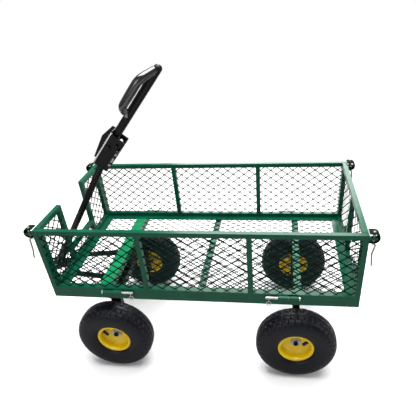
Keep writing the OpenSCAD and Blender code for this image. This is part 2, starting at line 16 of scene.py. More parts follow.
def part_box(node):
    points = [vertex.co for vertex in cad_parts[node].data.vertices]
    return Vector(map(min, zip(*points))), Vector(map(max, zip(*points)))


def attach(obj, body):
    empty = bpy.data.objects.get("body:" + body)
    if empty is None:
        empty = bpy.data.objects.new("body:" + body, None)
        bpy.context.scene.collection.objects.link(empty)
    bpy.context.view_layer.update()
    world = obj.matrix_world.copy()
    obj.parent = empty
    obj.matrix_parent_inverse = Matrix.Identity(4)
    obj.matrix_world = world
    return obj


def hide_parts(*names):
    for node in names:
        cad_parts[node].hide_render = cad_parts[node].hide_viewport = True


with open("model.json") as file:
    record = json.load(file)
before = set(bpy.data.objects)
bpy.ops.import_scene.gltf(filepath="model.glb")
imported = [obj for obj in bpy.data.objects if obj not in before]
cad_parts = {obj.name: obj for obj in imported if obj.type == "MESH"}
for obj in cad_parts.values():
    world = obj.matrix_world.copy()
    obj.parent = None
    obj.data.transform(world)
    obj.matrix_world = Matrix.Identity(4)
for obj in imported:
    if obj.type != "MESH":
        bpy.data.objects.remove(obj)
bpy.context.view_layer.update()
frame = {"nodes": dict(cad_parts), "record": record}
NODES = frame["nodes"]
BODY_OF = {n: b for b, members in frame["record"]["behaviour"]["bodies"].items() for n in members}
SLOT_OF = {s["node"]: s["material_slot"] for s in frame["record"]["subparts"]}

# %% [markdown]
# ## Measures
# The cart's measures are in millimetres in its own frame, and are turned to metres when a mesh is made. The
# bed, the panels and the wheels take their places from the boxes of the solid parts. The lights are
# placed in metres.

# %% Measures
MM = 0.001


def corners(node):
    """Lowest and highest corner of a solid part, in millimetres."""
    low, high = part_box(node)
    return np.array(low) / MM, np.array(high) / MM


BED_LOW, BED_HIGH = corners("bed_frame")
MID_X = (BED_LOW[0] + BED_HIGH[0]) / 2
HALF_WIDTH = BED_HIGH[1]
PANEL_TOP = corners("front_panel_frame")[1][2]
TUBE = 15.0
POST = 160.0
NOTCH = 83.5
NOTCH_FLOOR = BED_HIGH[2] + 50
REAR_AXLE_X, FRONT_AXLE_X = MID_X + 300, MID_X - 315
LEG_Y, LEG_WIDTH = 144.5, 20.0
print("bed", BED_HIGH - BED_LOW, "panel top", PANEL_TOP)

# %% [markdown]
# ## Shapes as functions
# Most pieces are tubes, bars and turned parts. A tube is a closed outline carried along a path, and a turned
# part is an outline carried round an axle. Each helper returns points and faces, and one function makes
# the mesh, so a piece can be put together from many closed parts.

# %% Outlines and paths
def circle(radius, count):
    """Points at equal angles on a circle."""
    a = np.arange(count) * 2 * np.pi / count
    return radius * np.stack([np.cos(a), np.sin(a)], 1)


def rounded_path(points, radii, closed=False, steps=8):
    """A path whose corner i is replaced by a true arc of radius radii[i], written as a rational quadratic
    curve: the corner point is weighted by the cosine of half the turn."""
    points = np.asarray(points, float)
    radii = np.broadcast_to(radii, len(points))
    out = []
    for i, p in enumerate(points):
        if not closed and i in (0, len(points) - 1) or radii[i] <= 0:
            out.append(p[None])
            continue
        before = points[i - 1] - p
        after = points[(i + 1) % len(points)] - p
        lengths = np.linalg.norm(before), np.linalg.norm(after)
        before, after = before / lengths[0], after / lengths[1]
        half_turn = (np.pi - np.arccos(np.clip(before @ after, -1, 1))) / 2
        cut = min(radii[i] * np.tan(half_turn), 0.49 * min(lengths))
        w = np.cos(half_turn)
        t = np.linspace(0, 1, steps + 1)[:, None]
        start, end = p + cut * before, p + cut * after
        top = (1 - t) ** 2 * start + 2 * w * t * (1 - t) * p + t ** 2 * end
        out.append(top / ((1 - t) ** 2 + 2 * w * t * (1 - t) + t ** 2))
    return np.concatenate(out)


def even_path(path, step):
    """The same path with points at equal distances of about step."""
    at = np.concatenate([[0], np.cumsum(np.linalg.norm(np.diff(path, axis=0), axis=1))])
    s = np.linspace(0, at[-1], max(2, int(at[-1] / step) + 1))
    return np.stack([np.interp(s, at, path[:, k]) for k in range(path.shape[1])], 1)


# %% Surfaces
def grid_faces(rows, columns, close_rows=False):
    """Four-sided faces between the rows of a grid whose columns run round and meet."""
    r = np.arange(rows if close_rows else rows - 1)[:, None]
    c = np.arange(columns)[None]
    r2, c2 = (r + 1) % rows, (c + 1) % columns
    ids = np.stack([r * columns + c, r * columns + c2, r2 * columns + c2, r2 * columns + c], -1)
    return ids.reshape(-1, 4)


def outward(points, faces):
    """The same faces, all turned round if the volume that they enclose comes out negative."""
    volume = 0.0
    for f in faces:
        for k in range(1, f.shape[1] - 1):
            a, b, c = points[f[:, 0]], points[f[:, k]], points[f[:, k + 1]]
            volume += np.einsum("ij,ij->i", a, np.cross(b, c)).sum()
    return points, [f[:, ::-1] if volume < 0 else f for f in faces]


def sweep(path, outline, normal, scale=None):
    """A closed outline carried along a flat path and closed at both ends. At each point its first axis is the
    path's normal and its second is square to both. scale widens the outline along the way."""
    path = np.asarray(path, float)
    normal = np.asarray(normal, float)
    normal = normal / np.linalg.norm(normal)
    way = np.gradient(path, axis=0)
    way /= np.linalg.norm(way, axis=1)[:, None]
    up = np.cross(way, normal)
    up /= np.linalg.norm(up, axis=1)[:, None]
    scale = np.ones(len(path)) if scale is None else np.asarray(scale, float)
    across = outline[None, :, 0, None] * normal + outline[None, :, 1, None] * up[:, None]
    points = (path[:, None] + scale[:, None, None] * across).reshape(-1, 3)
    count = len(outline)
    last = (len(path) - 1) * count
    faces = [grid_faces(len(path), count), np.arange(count)[None, ::-1], last + np.arange(count)[None]]
    return outward(points, faces)


def round_ends(path, radius, steps=5):
    """Stations near both ends of a path and the widths that round them off like a ball."""
    a = np.linspace(0, np.pi / 2, steps)[:-1]
    way = path[-1] - path[-2]
    back = path[0] - path[1]
    way, back = way / np.linalg.norm(way), back / np.linalg.norm(back)
    first = path[0] + radius * np.cos(a)[:, None] * back
    last = path[-1] + radius * np.cos(a)[::-1, None] * way
    width = np.concatenate([np.sin(a) + 0.02, np.ones(len(path)), np.sin(a)[::-1] + 0.02])
    return np.concatenate([first, path, last]), width


def turned(outline, centre, count):
    """A closed outline of [along the axle, radius] carried round the axle, which runs along Y."""
    a = np.arange(count) * 2 * np.pi / count
    along, radius = outline[None, :, 0], outline[None, :, 1]
    x, z = radius * np.cos(a)[:, None], radius * np.sin(a)[:, None]
    points = np.stack([x, np.broadcast_to(along, x.shape), z], -1).reshape(-1, 3) + centre
    return outward(points, [grid_faces(count, len(outline), close_rows=True)])


def straps(lines, outline, normal):
    """Many short straight parts at once, with four stations each. lines is [n, 2, 3], and the outline's
    width is given for each station."""
    p, q = lines[:, 0], lines[:, 1]
    way = (q - p) / np.linalg.norm(q - p, axis=1)[:, None]
    normal = np.broadcast_to(np.asarray(normal, float), p.shape)
    side = np.cross(way, normal)
    t = np.array([0, 0.3, 0.7, 1])[None, :, None]
    middle = p[:, None] * (1 - t) + q[:, None] * t
    points = (middle[:, :, None] + outline[None, :, :, 0, None] * side[:, None, None]
              + outline[None, :, :, 1, None] * normal[:, None, None])
    size = outline.shape[0] * outline.shape[1]
    one = grid_faces(outline.shape[0], outline.shape[1])
    ends = np.array([[3, 2, 1, 0], [size - 4, size - 3, size - 2, size - 1]])
    faces = np.concatenate([one, ends])
    all_faces = (np.arange(len(lines))[:, None, None] * size + faces[None]).reshape(-1, 4)
    return outward(points.reshape(-1, 3), [all_faces])


# %% Make a piece
SMOOTH_TO = math.radians(38)


def piece(name, parts, material, body, replaces=()):
    """One mesh from several closed parts, riding on a body. Edges sharper than 38 degrees stay sharp."""
    points, faces, start = [], [], 0
    for part_points, part_faces in parts:
        points.append(part_points)
        faces += [f + start for f in part_faces]
        start += len(part_points)
    mesh = bpy.data.meshes.new(name)
    mesh.vertices.add(start)
    mesh.vertices.foreach_set("co", (np.concatenate(points) * MM).astype(np.float32).ravel())
    loops = np.concatenate([f.ravel() for f in faces]).astype(np.int32)
    totals = np.concatenate([np.full(len(f), f.shape[1]) for f in faces]).astype(np.int32)
    mesh.loops.add(len(loops))
    mesh.loops.foreach_set("vertex_index", loops)
    mesh.polygons.add(len(totals))
    mesh.polygons.foreach_set("loop_start", np.concatenate([[0], np.cumsum(totals)[:-1]]).astype(np.int32))
    mesh.polygons.foreach_set("use_smooth", np.ones(len(totals), bool))
    mesh.update(calc_edges=True)
    mesh.validate()
    mesh.set_sharp_from_angle(angle=SMOOTH_TO)
    mesh.materials.append(material)
    made = bpy.data.objects.new(name, mesh)
    bpy.context.scene.collection.objects.link(made)
    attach(made, body)
    for node in replaces:
        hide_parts(node)
    print(name, len(totals), "faces")


# %% [markdown]
# ## Finishes
# Powder coat is a plastic film baked on steel: glossy, with a fine orange peel. Zinc plate is bright and
# slightly clouded. Tyre rubber is dull with a faint bloom. One function adds a node with its settings
# and links. Pattern scales are worked out from sizes in millimetres.

# %% Node helper
def linear(code):
    """An sRGB hex colour as the linear values that a shader takes."""
    values = [int(code[i:i + 2], 16) / 255 for i in (1, 3, 5)]
    return [v / 12.92 if v <= 0.04045 else ((v + 0.055) / 1.055) ** 2.4 for v in values] + [1.0]


def add(tree, kind, inputs=None, **settings):
    """Adds one node. inputs maps a socket to a value, or to another node's output to link."""
    made = tree.nodes.new(kind)
    for key, value in settings.items():
        setattr(made, key, value)
    for key, value in (inputs or {}).items():
        if isinstance(value, bpy.types.NodeSocket):
            tree.links.new(value, made.inputs[key])
        else:
            made.inputs[key].default_value = value
    return made


def per_mm(size):
    """The scale at which a noise pattern on Object coordinates has features of that size in millimetres."""
    return 1 / (size * MM)


# Noise seldom leaves this part of 0 to 1, so a drift between two values is spread over it
NOISE_REACH = (0.3, 0.7)


def finish_of(name, low, high, patch, rough, bump_size, bump_height, **shader):
    """A finish whose colour drifts between two tones over patches of a size, whose roughness drifts between
    two values, and whose bump is noise of a size and height in millimetres."""
    made = bpy.data.materials.new(name)
    made.use_nodes = True
    tree = made.node_tree
    tree.nodes.clear()
    where = add(tree, "ShaderNodeTexCoord").outputs["Object"]
    clouds = add(tree, "ShaderNodeTexNoise",
                 {"Vector": where, "Scale": per_mm(patch), "Detail": 6.0, "Roughness": 0.6})
    tone = add(tree, "ShaderNodeValToRGB", {"Fac": clouds.outputs["Fac"]})
    for stop, share, code in zip(tone.color_ramp.elements, NOISE_REACH, (low, high)):
        stop.position = share
        stop.color = linear(code)
    drift = add(tree, "ShaderNodeMapRange",
                {"Value": clouds.outputs["Fac"], "From Min": NOISE_REACH[0], "From Max": NOISE_REACH[1],
                 "To Min": rough[0], "To Max": rough[1]})
    grain = add(tree, "ShaderNodeTexNoise", {"Vector": where, "Scale": per_mm(bump_size), "Detail": 2.0})
    bump = add(tree, "ShaderNodeBump",
               {"Height": grain.outputs["Fac"], "Distance": bump_height * MM, "Strength": 1.0})
    surface = add(tree, "ShaderNodeBsdfPrincipled",
                  {"Base Color": tone.outputs["Color"], "Roughness": drift.outputs["Result"],
                   "Normal": bump.outputs["Normal"], **shader})
    add(tree, "ShaderNodeOutputMaterial", {"Surface": surface.outputs["BSDF"]})
    return made


# %% Powder coat on steel
# Polyester powder, baked on. It gives a wet-looking film over a slightly lumpy one.
GREEN = finish_of("green_powder_coat_on_steel", "#02452F", "#03523B", 60, (0.16, 0.26), 1.6, 0.04,
                  **{"Coat Weight": 0.12, "Coat Roughness": 0.08, "Specular IOR Level": 0.2})
# Painted light: a lighter copy of the green coat, standing in for the light that falls on the front cross
# member
LIT_GREEN_COPY = finish_of("lighter_lit_copy_of_green_powder_coat", "#026841", "#04784C", 60, (0.2, 0.3), 1.6, 0.05,
                         **{"Coat Weight": 0.1, "Coat Roughness": 0.15, "Specular IOR Level": 0.3})
MESH_GREEN = finish_of("green_dip_coat_on_expanded_mesh", "#021711", "#03221A", 40, (0.5, 0.65), 1.2, 0.05,
                       **{"Specular IOR Level": 0.05})
BLACK = finish_of("black_powder_coat_on_steel", "#040405", "#08080A", 50, (0.26, 0.4), 1.6, 0.05,
                  **{"Coat Weight": 0.1, "Coat Roughness": 0.15, "Specular IOR Level": 0.25})
YELLOW = finish_of("yellow_enamel_on_pressed_rims", "#EBC400", "#F6D400", 45, (0.2, 0.32), 1.8, 0.04,
                   **{"Coat Weight": 0.3, "Coat Roughness": 0.1})
# Zinc plate, whose crystals cloud it in patches of a few millimetres
ZINC = finish_of("zinc_plate_on_steel", "#A9ABAB", "#D9DAD6", 6, (0.22, 0.42), 1.0, 0.03, **{"Metallic": 1.0})
# Painted highlight: a pale satin strip that stands in for the light reflected by the coupler's glossy black
# folded edge
PALE_HIGHLIGHT = finish_of("painted_highlight_on_folded_edge", "#E4E4E0", "#F6F6F2", 8, (0.5, 0.65), 1.0, 0.03,
                 **{"Metallic": 0.2})
# Drawn and barely cleaned wire, browner than plate
WIRE = finish_of("dull_zinc_on_drawn_rod", "#8A8072", "#B9B0A2", 8, (0.3, 0.5), 1.0, 0.05,
                 **{"Metallic": 0.9})
# Carbon black rubber, moulded, with a faint blue bloom
RUBBER = finish_of("moulded_tyre_rubber", "#04050C", "#080A16", 30, (0.3, 0.48), 1.5, 0.12,
                   **{"Specular IOR Level": 0.28})
TUBE_RUBBER = finish_of("butyl_inner_tube_rubber", "#141416", "#1C1C1F", 20, (0.5, 0.65), 1.5, 0.05)
GRIP = finish_of("glossy_moulded_grip", "#030304", "#060608", 25, (0.08, 0.16), 3.0, 0.03,
                 **{"Coat Weight": 1.0, "Coat Roughness": 0.04, "Specular IOR Level": 0.9})
BY_SLOT = {"green_steel": GREEN, "black_steel": BLACK, "zinc_steel": ZINC, "rim_paint": YELLOW,
           "tyre": RUBBER, "inner_tube": TUBE_RUBBER, "grip_plastic": GRIP}

# Both axles are coated black, but the washers on their ends are bright
for node_name, node_object in NODES.items():
    node_object.data.materials.clear()
    node_object.data.materials.append(BLACK if "axle" in node_name and "washers" not in node_name
                                      else BY_SLOT[SLOT_OF[node_name]])

# %% [markdown]
# ## Broken edges
# No edge on painted steel is knife sharp: the tube is rolled, the sheet is folded, and the coat draws back
# from corners. Each plain steel part is copied, its triangles are merged to flat faces, and a bevel
# of half a millimetre to two and a half rounds its edges, so that they catch the light.

# %% Soften the steel parts
SAME_POINT = 1e-6
SAME_PLANE = math.radians(0.6)


def softened(node, width, material=None):
    """A copy of a solid part with its edges rounded to a width in millimetres."""
    work = bmesh.new()
    work.from_mesh(NODES[node].data)
    bmesh.ops.remove_doubles(work, verts=work.verts, dist=SAME_POINT)
    bmesh.ops.dissolve_limit(work, angle_limit=SAME_PLANE, verts=work.verts, edges=work.edges)
    mesh = bpy.data.meshes.new(node + "_soft")
    work.to_mesh(mesh)
    work.free()
    mesh.polygons.foreach_set("use_smooth", np.ones(len(mesh.polygons), bool))
    mesh.set_sharp_from_angle(angle=SMOOTH_TO)
    mesh.materials.clear()
    mesh.materials.append(material or BY_SLOT[SLOT_OF[node]])
    made = bpy.data.objects.new(node + "_soft", mesh)
    bpy.context.scene.collection.objects.link(made)
    bevel = made.modifiers.new("broken edges", "BEVEL")
    bevel.width = width * MM
    bevel.segments = 2
    bevel.limit_method = "ANGLE"
    bevel.angle_limit = SMOOTH_TO
    bevel.use_clamp_overlap = True
    bevel.harden_normals = True
    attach(made, BODY_OF[node])
    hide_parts(node)


# The edge radius of each part, in millimetres
SOFT = {"bed_frame": 1.0, "cross_members": 1.0, "near_side_frame": 1.8, "far_side_frame": 1.8,
        "tailgate_frame": 1.8, "front_panel_frame": 1.8, "hinge_ears": 0.5, "rear_axle_frame": 2.0,
        "front_axle_frame": 2.5, "turntable_upper": 0.8, "turntable_lower": 0.8, "drawbar_yoke": 1.0,
        "coupler": 0.8, "coupler_fin": 0.8, "yoke_bolt": 0.6, "front_panel_bolts": 0.6, "hitch_pin": 0.6,
        "hitch_pin_knob": 1.5}
for node_name, edge in SOFT.items():
    softened(node_name, edge)
# Painted light: the front cross member takes the lighter copy of the green coat, for the light that falls on
# it
softened("front_cross_member", 1.2, LIT_GREEN_COPY)
softened("coupler_bolt", 0.6, BLACK)

# %% [markdown]
# ## Expanded mesh
# Expanded mesh is slit sheet, pulled until the slits open into diamonds. Each strand leans out of the plane
# and is widest where it meets the next one. Here every strand is a short strap between two bonds, clipped
# to the opening, and all of a sheet's straps are worked out as one array.

# %% Mesh sheets
LONG, SHORT = 40.0, 30.0
STRAND, GAUGE = 3.0, 1.8
LEAN = 22.0
# A strand's width at its four stations, as a share of STRAND, and the least share of a strand that is kept
WIDENING = np.array([1.25, 0.95, 0.95, 1.25])
SHORTEST = 0.08


def clipped(lines, width, height):
    """The parts of flat lines that lie in a rectangle, by the line's entry and exit shares."""
    p, d = lines[:, 0], lines[:, 1] - lines[:, 0]
    low = (np.zeros(2) - p) / d
    high = (np.array([width, height]) - p) / d
    enter = np.maximum(np.minimum(low, high).max(1), 0)
    leave = np.minimum(np.maximum(low, high).min(1), 1)
    keep = leave - enter > SHORTEST
    return np.stack([p + enter[:, None] * d, p + leave[:, None] * d], 1)[keep]


def net(origin, along, across, width, height):
    """Straps of expanded mesh over a rectangle with one corner at origin."""
    columns, rows = int(width / LONG * 2) + 2, int(height / SHORT * 2) + 2
    i, j = np.meshgrid(np.arange(-1, columns), np.arange(-1, rows + 1), indexing="ij")
    bond = (i + j) % 2 == 0
    start = np.stack([i[bond] * LONG / 2, j[bond] * SHORT / 2], 1)
    lines = np.concatenate([np.stack([start, start + [LONG / 2, s * SHORT / 2]], 1) for s in (1, -1)])
    lines = clipped(lines, width, height)
    along, across, origin = (np.asarray(v, float) for v in (along, across, origin))
    placed = origin + lines[..., :1] * along + lines[..., 1:] * across
    lean = np.radians([0, LEAN, LEAN, 0])[:, None]
    square = np.array([[-1, -1], [1, -1], [1, 1], [-1, 1]], float)
    wide = square[:, 0] * (STRAND / 2 * WIDENING)[:, None]
    thick = square[:, 1] * (GAUGE / 2)
    outline = np.stack([wide * np.cos(lean) - thick * np.sin(lean),
                        wide * np.sin(lean) + thick * np.cos(lean)], -1)
    return straps(placed, outline, np.cross(along, across))


X, Y, Z = np.eye(3)


def sheet_in(low, high, flat_axis):
    """Mesh over a box that is thin along one axis, with its diamonds' long way level."""
    low, high = np.asarray(low, float), np.asarray(high, float)
    middle = (low + high) / 2
    along = {0: Y, 1: X, 2: X}[flat_axis]
    across = {0: Z, 1: Z, 2: Y}[flat_axis]
    origin = low.copy()
    origin[flat_axis] = middle[flat_axis]
    size = high - low
    return net(origin, along, across, size @ along, size @ across)


PANEL_LOW = BED_HIGH[2] + TUBE
BAY_TOP = PANEL_TOP - TUBE
for side in ("near", "far"):
    low, high = corners(side + "_side_mesh")
    bays = [(low[0], MID_X - POST - TUBE / 2), (MID_X - POST + TUBE / 2, MID_X + POST - TUBE / 2),
            (MID_X + POST + TUBE / 2, high[0])]
    piece(side + "_side_net", [sheet_in([a, low[1], low[2]], [b, high[1], high[2]], 1) for a, b in bays],
          MESH_GREEN, side + "_side", [side + "_side_mesh"])

low, high = corners("tailgate_mesh")
piece("tailgate_net", [sheet_in([low[0], low[1], low[2]], [high[0], -TUBE / 2, high[2]], 0),
                       sheet_in([low[0], TUBE / 2, low[2]], [high[0], high[1], high[2]], 0)],
      MESH_GREEN, "tailgate", ["tailgate_mesh"])

low, high = corners("front_panel_mesh")
front_bays = [(low[1], -NOTCH - TUBE, high[2]), (NOTCH + TUBE, high[1], high[2]),
              (-NOTCH, NOTCH, NOTCH_FLOOR)]
piece("front_panel_net", [sheet_in([low[0], a, low[2]], [high[0], b, top], 0) for a, b, top in front_bays],
      MESH_GREEN, "bed", ["front_panel_mesh"])

low, high = corners("bed_mesh")
member_low, member_high = corners("front_cross_member")
piece("bed_net", [sheet_in(low, [member_low[0], high[1], high[2]], 2),
                  sheet_in([member_high[0], low[1], low[2]], high, 2)],
      MESH_GREEN, "bed", ["bed_mesh"])

# %% [markdown]
# ## Tyres
# The tyre is a turned outline whose tread is cut into it. The outline's crown is a squarish arch: the
# distance across is the cosine to the power 0.7, and the height is the sine to the power 0.8. Grooves are
# smooth dips, four running round and many running across, and every other row of blocks is moved half a
# block round. The sidewall carries two thin ribs beside the bead.

# %% Tyre
TYRE_HALF, TYRE_R, WAIST, TYRE_THICK = 42.0, 130.0, 92.0, 9.0
# The tread: where it begins, how deep it is, where its grooves lie on each side and how wide they are
TREAD_R, TREAD_DEPTH = 103.0, 2.6
ZIGZAG_AT, ZIGZAG_WIDE, ZIGZAG_SWING = 9.0, 5.0, 2.2
PLAIN_AT, PLAIN_WIDE = 24.0, 4.0
ROW, BLOCKS, BLOCK_R, CROSS_WIDE = 12.0, 36, 125.0, 5.0


def arch(half, low, high, a):
    """Crown of a tyre from one waist over the top to the other."""
    return np.stack([half * np.abs(np.cos(a)) ** 0.7 * np.sign(np.cos(a)),
                     low + (high - low) * np.clip(np.sin(a), 0, 1) ** 0.8], 1)


def tyre_outline():
    """Closed outline of [across, radius], outer side first, then the inner wall back, and the count of its
    points that are on the crown."""
    a = np.linspace(0, np.pi, 73)
    b = np.linspace(0, np.pi / 2, 15)
    crown = arch(TYRE_HALF, WAIST, TYRE_R, a)
    wall = np.stack([27 + 15 * np.cos(b), WAIST - 34 * np.sin(b)], 1)
    ribs = 0.9 * np.exp(-((wall[:, 1] - 66) / 1.6) ** 2) + 0.7 * np.exp(-((wall[:, 1] - 74) / 1.4) ** 2)
    wall[:, 0] += ribs * 0.8
    inner = np.stack([18 + 18 * np.cos(b), WAIST - 32 * np.sin(b)], 1)
    inner_crown = arch(36, WAIST, TYRE_R - TYRE_THICK, np.linspace(0, np.pi, 19))
    flip = np.array([-1, 1])
    bead = np.array([[26.6, 50.8], [14, 50.8]])
    return np.concatenate([crown, flip * wall[1:], flip * bead, flip * inner[::-1], inner_crown[::-1][1:],
                           inner[1:], bead[::-1], wall[::-1][:-1]]), len(crown)


def dip(distance, width):
    """1 in the middle of a groove of that width, falling smoothly to 0 at its edges."""
    t = np.clip(1 - distance / (width / 2), 0, 1)
    return t * t * (3 - 2 * t)


def tyre(centre, columns=360):
    """The tyre with its tread. A groove's depth is taken off the radius, and on the shoulders about a third
    of it is taken off the width too. It fades out over the last 6 mm of the tread."""
    outline, crown_count = tyre_outline()
    a = np.arange(columns)[:, None] * 2 * np.pi / columns
    across, radius = outline[None, :, 0], outline[None, :, 1]
    out = np.abs(across)
    is_tread = (np.arange(len(outline)) < crown_count) & (outline[:, 1] > TREAD_R)
    turn = a / (2 * np.pi) * BLOCKS
    zigzag = ZIGZAG_SWING * np.sin(turn * 2 * np.pi)
    round_grooves = (dip(np.abs(np.abs(across + zigzag) - ZIGZAG_AT), ZIGZAG_WIDE)
                     + dip(np.abs(out - PLAIN_AT), PLAIN_WIDE))
    row = np.floor(out / ROW) % 2
    phase = np.abs((turn + 0.5 * row + 0.006 * out) % 1 - 0.5)
    cross_grooves = dip(phase * 2 * np.pi * BLOCK_R / BLOCKS, CROSS_WIDE) * (out > ZIGZAG_AT)
    fade = np.clip((radius - TREAD_R) / 6, 0, 1)
    depth = TREAD_DEPTH * np.clip(np.maximum(round_grooves, cross_grooves), 0, 1) * is_tread[None] * fade
    low = radius - depth
    side = across - 0.35 * depth * np.sign(across) * (out > 30)
    points = np.stack([low * np.cos(a), np.broadcast_to(side, low.shape), low * np.sin(a)], -1)
    return outward(points.reshape(-1, 3) + centre, [grid_faces(columns, len(outline), close_rows=True)])


# %% [markdown]
# ## Rims and valves
# The rim is two pressings welded back to back. Its outline has curled flanges, a flat bead seat and a bowl
# that falls to the hub. The valve's stem comes through the well between the bead seats in a rubber grommet,
# and wears a ribbed cap.

# %% Wheels
def rim(centre, outer):
    """The pressed rim. outer is -1 or 1, the side that faces away from the cart."""
    points = [[-28.9, 57.2], [-27.6, 57.9], [-27.2, 50.7], [-14, 50.6], [-12, 49.4], [12, 49.4], [14, 50.6],
              [27.2, 50.7], [27.6, 57.9], [28.9, 57.2], [28.4, 49.6], [24, 47.6], [9, 46.8], [4.5, 43],
              [2.5, 34], [-1, 25], [-1, 17.2], [-5, 17.2], [-5, 25], [-3.5, 34], [-4.5, 43], [-9, 46.8],
              [-24, 47.6], [-28.4, 49.6]]
    outline = rounded_path(points, 2.2, closed=True, steps=4)
    outline[:, 0] *= outer
    return turned(outline, centre, 120)


# The valve's foot is in the rim's well: its place round the wheel, its lean, its radius and its side
VALVE_ANGLE, VALVE_TILT = math.radians(24), math.radians(22)
VALVE_R, VALVE_Y = 48.5, 9.0


def along_valve(centre, outer, way, distances):
    """Points on the valve's axis. way is 1 where the valve points along -X from the rim's +X side."""
    base = np.array([VALVE_R * math.cos(VALVE_ANGLE) * way, VALVE_Y * outer, VALVE_R * math.sin(VALVE_ANGLE)])
    inward = np.array([-math.cos(VALVE_ANGLE) * way * math.cos(VALVE_TILT), outer * math.sin(VALVE_TILT),
                       -math.sin(VALVE_ANGLE) * math.cos(VALVE_TILT)])
    return centre + base + np.asarray(distances)[:, None] * inward


for side, outer in (("near", -1), ("far", 1)):
    for end in ("front", "rear"):
        name = side + "_" + end
        body = name + "_wheel"
        low, high = corners(name + "_tyre")
        centre = (low + high) / 2
        piece(name + "_tyre_tread", [tyre(centre)], RUBBER, body, [name + "_tyre"])
        piece(name + "_rim_pressing", [rim(centre, outer)], YELLOW, body, [name + "_rim"])
        # Wheels stop anywhere in their turn, and the near front one stopped with its valve on the other side
        way = -1 if name == "near_front" else 1
        stem = along_valve(centre, outer, way, [1, 2, 4, 5])
        cap = along_valve(centre, outer, way, [6, 6.6, 26, 27.4, 28])
        a = np.arange(32) * 2 * np.pi / 32
        ribbed = circle(1.0, 32) * (4.9 + 0.25 * np.cos(8 * a))[:, None]
        across = np.cross(stem[1] - stem[0], Y)
        grommet = sweep(stem, circle(1.0, 24), across, [7.2, 7.4, 6.2, 5.2])
        piece(name + "_valve_cap", [sweep(cap, ribbed, across, [0.9, 1, 1, 0.85, 0.5]), grommet],
              TUBE_RUBBER, body)

# %% [markdown]
# ## Handle
# The tongue and the upper tube are plain round tube. The grip is a bent rod with a thick glossy sleeve,
# whose radius swells smoothly along its length. Each is a circle carried along a path of straight
# runs and arcs.

# %% Handle frames
DRAW_Z = 262.0
PIVOT = np.array([MID_X - 600, 0, DRAW_Z])
SLOPE, SET = math.radians(56), math.radians(6.8)
TONGUE_R, SLEEVE_R, EYE_R = 11.0, 15.0, 14.0
UPPER_R, BOSS_R, GRIP_ROD_R = 12.5, 9.5, 7.9


def frame_at(origin, angle):
    """A function from [along, across, above] to the cart's frame, for a frame that leans back by angle from
    level, and that frame's axes."""
    axes = np.array([[math.cos(angle), 0, math.sin(angle)],
                     [0, 1, 0],
                     [-math.sin(angle), 0, math.cos(angle)]])
    return lambda local: np.asarray(local, float) @ axes + origin, axes


on_tongue, _ = frame_at(PIVOT, SLOPE)
_, coupler_axes = frame_at(PIVOT, SLOPE - SET)
COUPLER = on_tongue([490, 0, 0]) + 24.8 * coupler_axes[2]
on_coupler, _ = frame_at(COUPLER, SLOPE - SET)
FOLD = on_coupler([76, 0, -15.2])
on_upper, _ = frame_at(FOLD, SLOPE - SET)
print("fold pivot", FOLD)

# %% Tubes of the handle
tongue_run = on_tongue([[10, 0, 0], [11, 0, 0], [533, 0, 0], [534, 0, 0]])
sleeve_run = on_tongue([[31, 0, 0], [33, 0, 0], [98, 0, 0], [101, 0, 0]])
eye = PIVOT + np.array([[0, y, 0] for y in (-11, -10.2, 10.2, 11)])
piece("tongue_round_tube", [sweep(tongue_run, circle(TONGUE_R, 40), Y, [0.94, 1, 1, 0.94]),
                            sweep(sleeve_run, circle(SLEEVE_R, 40), Y, [0.9, 1, 1, 0.78]),
                            sweep(eye, circle(EYE_R, 40), X, [0.95, 1, 1, 0.95])],
      BLACK, "tongue", ["tongue_tube"])

# Painted highlight along the folded edge of the coupler: a pale strip that stands in for light reflected off
# the glossy black fold
FOLD_Y, FOLD_Z, HIGHLIGHT_R = -19.6, -2.2, 2.9
highlight_run = on_coupler([[x, FOLD_Y, FOLD_Z] for x in (1, 1.6, 124, 124.6)])
piece("coupler_painted_highlight_edge", [sweep(highlight_run, circle(HIGHLIGHT_R, 20), Y, [0.7, 1, 1, 0.7])], PALE_HIGHLIGHT, "tongue")

shank, shank_width = round_ends(on_upper([[x, 0, 0] for x in (0, 100, 200, 287)]), UPPER_R, 7)
boss = FOLD + np.array([[0, y, 0] for y in (-18.6, -18, 18, 18.6)])
piece("upper_round_tube", [sweep(shank, circle(UPPER_R, 40), Y, shank_width),
                           sweep(boss, circle(BOSS_R, 32), X, [0.93, 1, 1, 0.93])],
      BLACK, "handle", ["upper_tube"])

# The grip's bow is flat, and is turned about the upper tube
GRIP_TURN = math.radians(55)
bow_corners = [[111, 0], [144, 41], [240, 41], [287, 3]]
bow_flat = even_path(rounded_path(bow_corners, [0, 24, 45, 0], steps=14), 3.0)
bow = on_upper(np.stack([bow_flat[:, 0], -bow_flat[:, 1] * math.sin(GRIP_TURN),
                         bow_flat[:, 1] * math.cos(GRIP_TURN)], 1))
bow_normal = np.cross(bow[20] - bow[0], bow[40] - bow[0])
piece("grip_rod", [sweep(bow, circle(GRIP_ROD_R, 32), bow_normal)], ZINC, "handle", ["grip_bow"])

# The sleeve covers this stretch of the bow. It is thickest in its middle, and its first end is rounded in
SLEEVE_FROM, SLEEVE_TO = 0.13, 0.985
SLEEVE_LEAST, SLEEVE_SWELL = 11.4, 1.9
share = np.linspace(0, 1, len(bow))
covered = (share > SLEEVE_FROM) & (share < SLEEVE_TO)
t = (share[covered] - SLEEVE_FROM) / (SLEEVE_TO - SLEEVE_FROM)
swell = SLEEVE_LEAST + SLEEVE_SWELL * np.sin(np.pi * np.clip((t - 0.05) / 0.9, 0, 1)) ** 0.8
swell *= np.clip(t / 0.03, 0.0, 1) ** 0.5 * 0.25 + 0.75
piece("grip_moulding", [sweep(bow[covered], circle(1.0, 48), bow_normal, swell)], GRIP, "handle",
      ["grip_sleeve"])

# %% [markdown]
# ## Drawbar and latch rods
# These are bent from rod or tube, so each is again a circle along a path with true arcs.

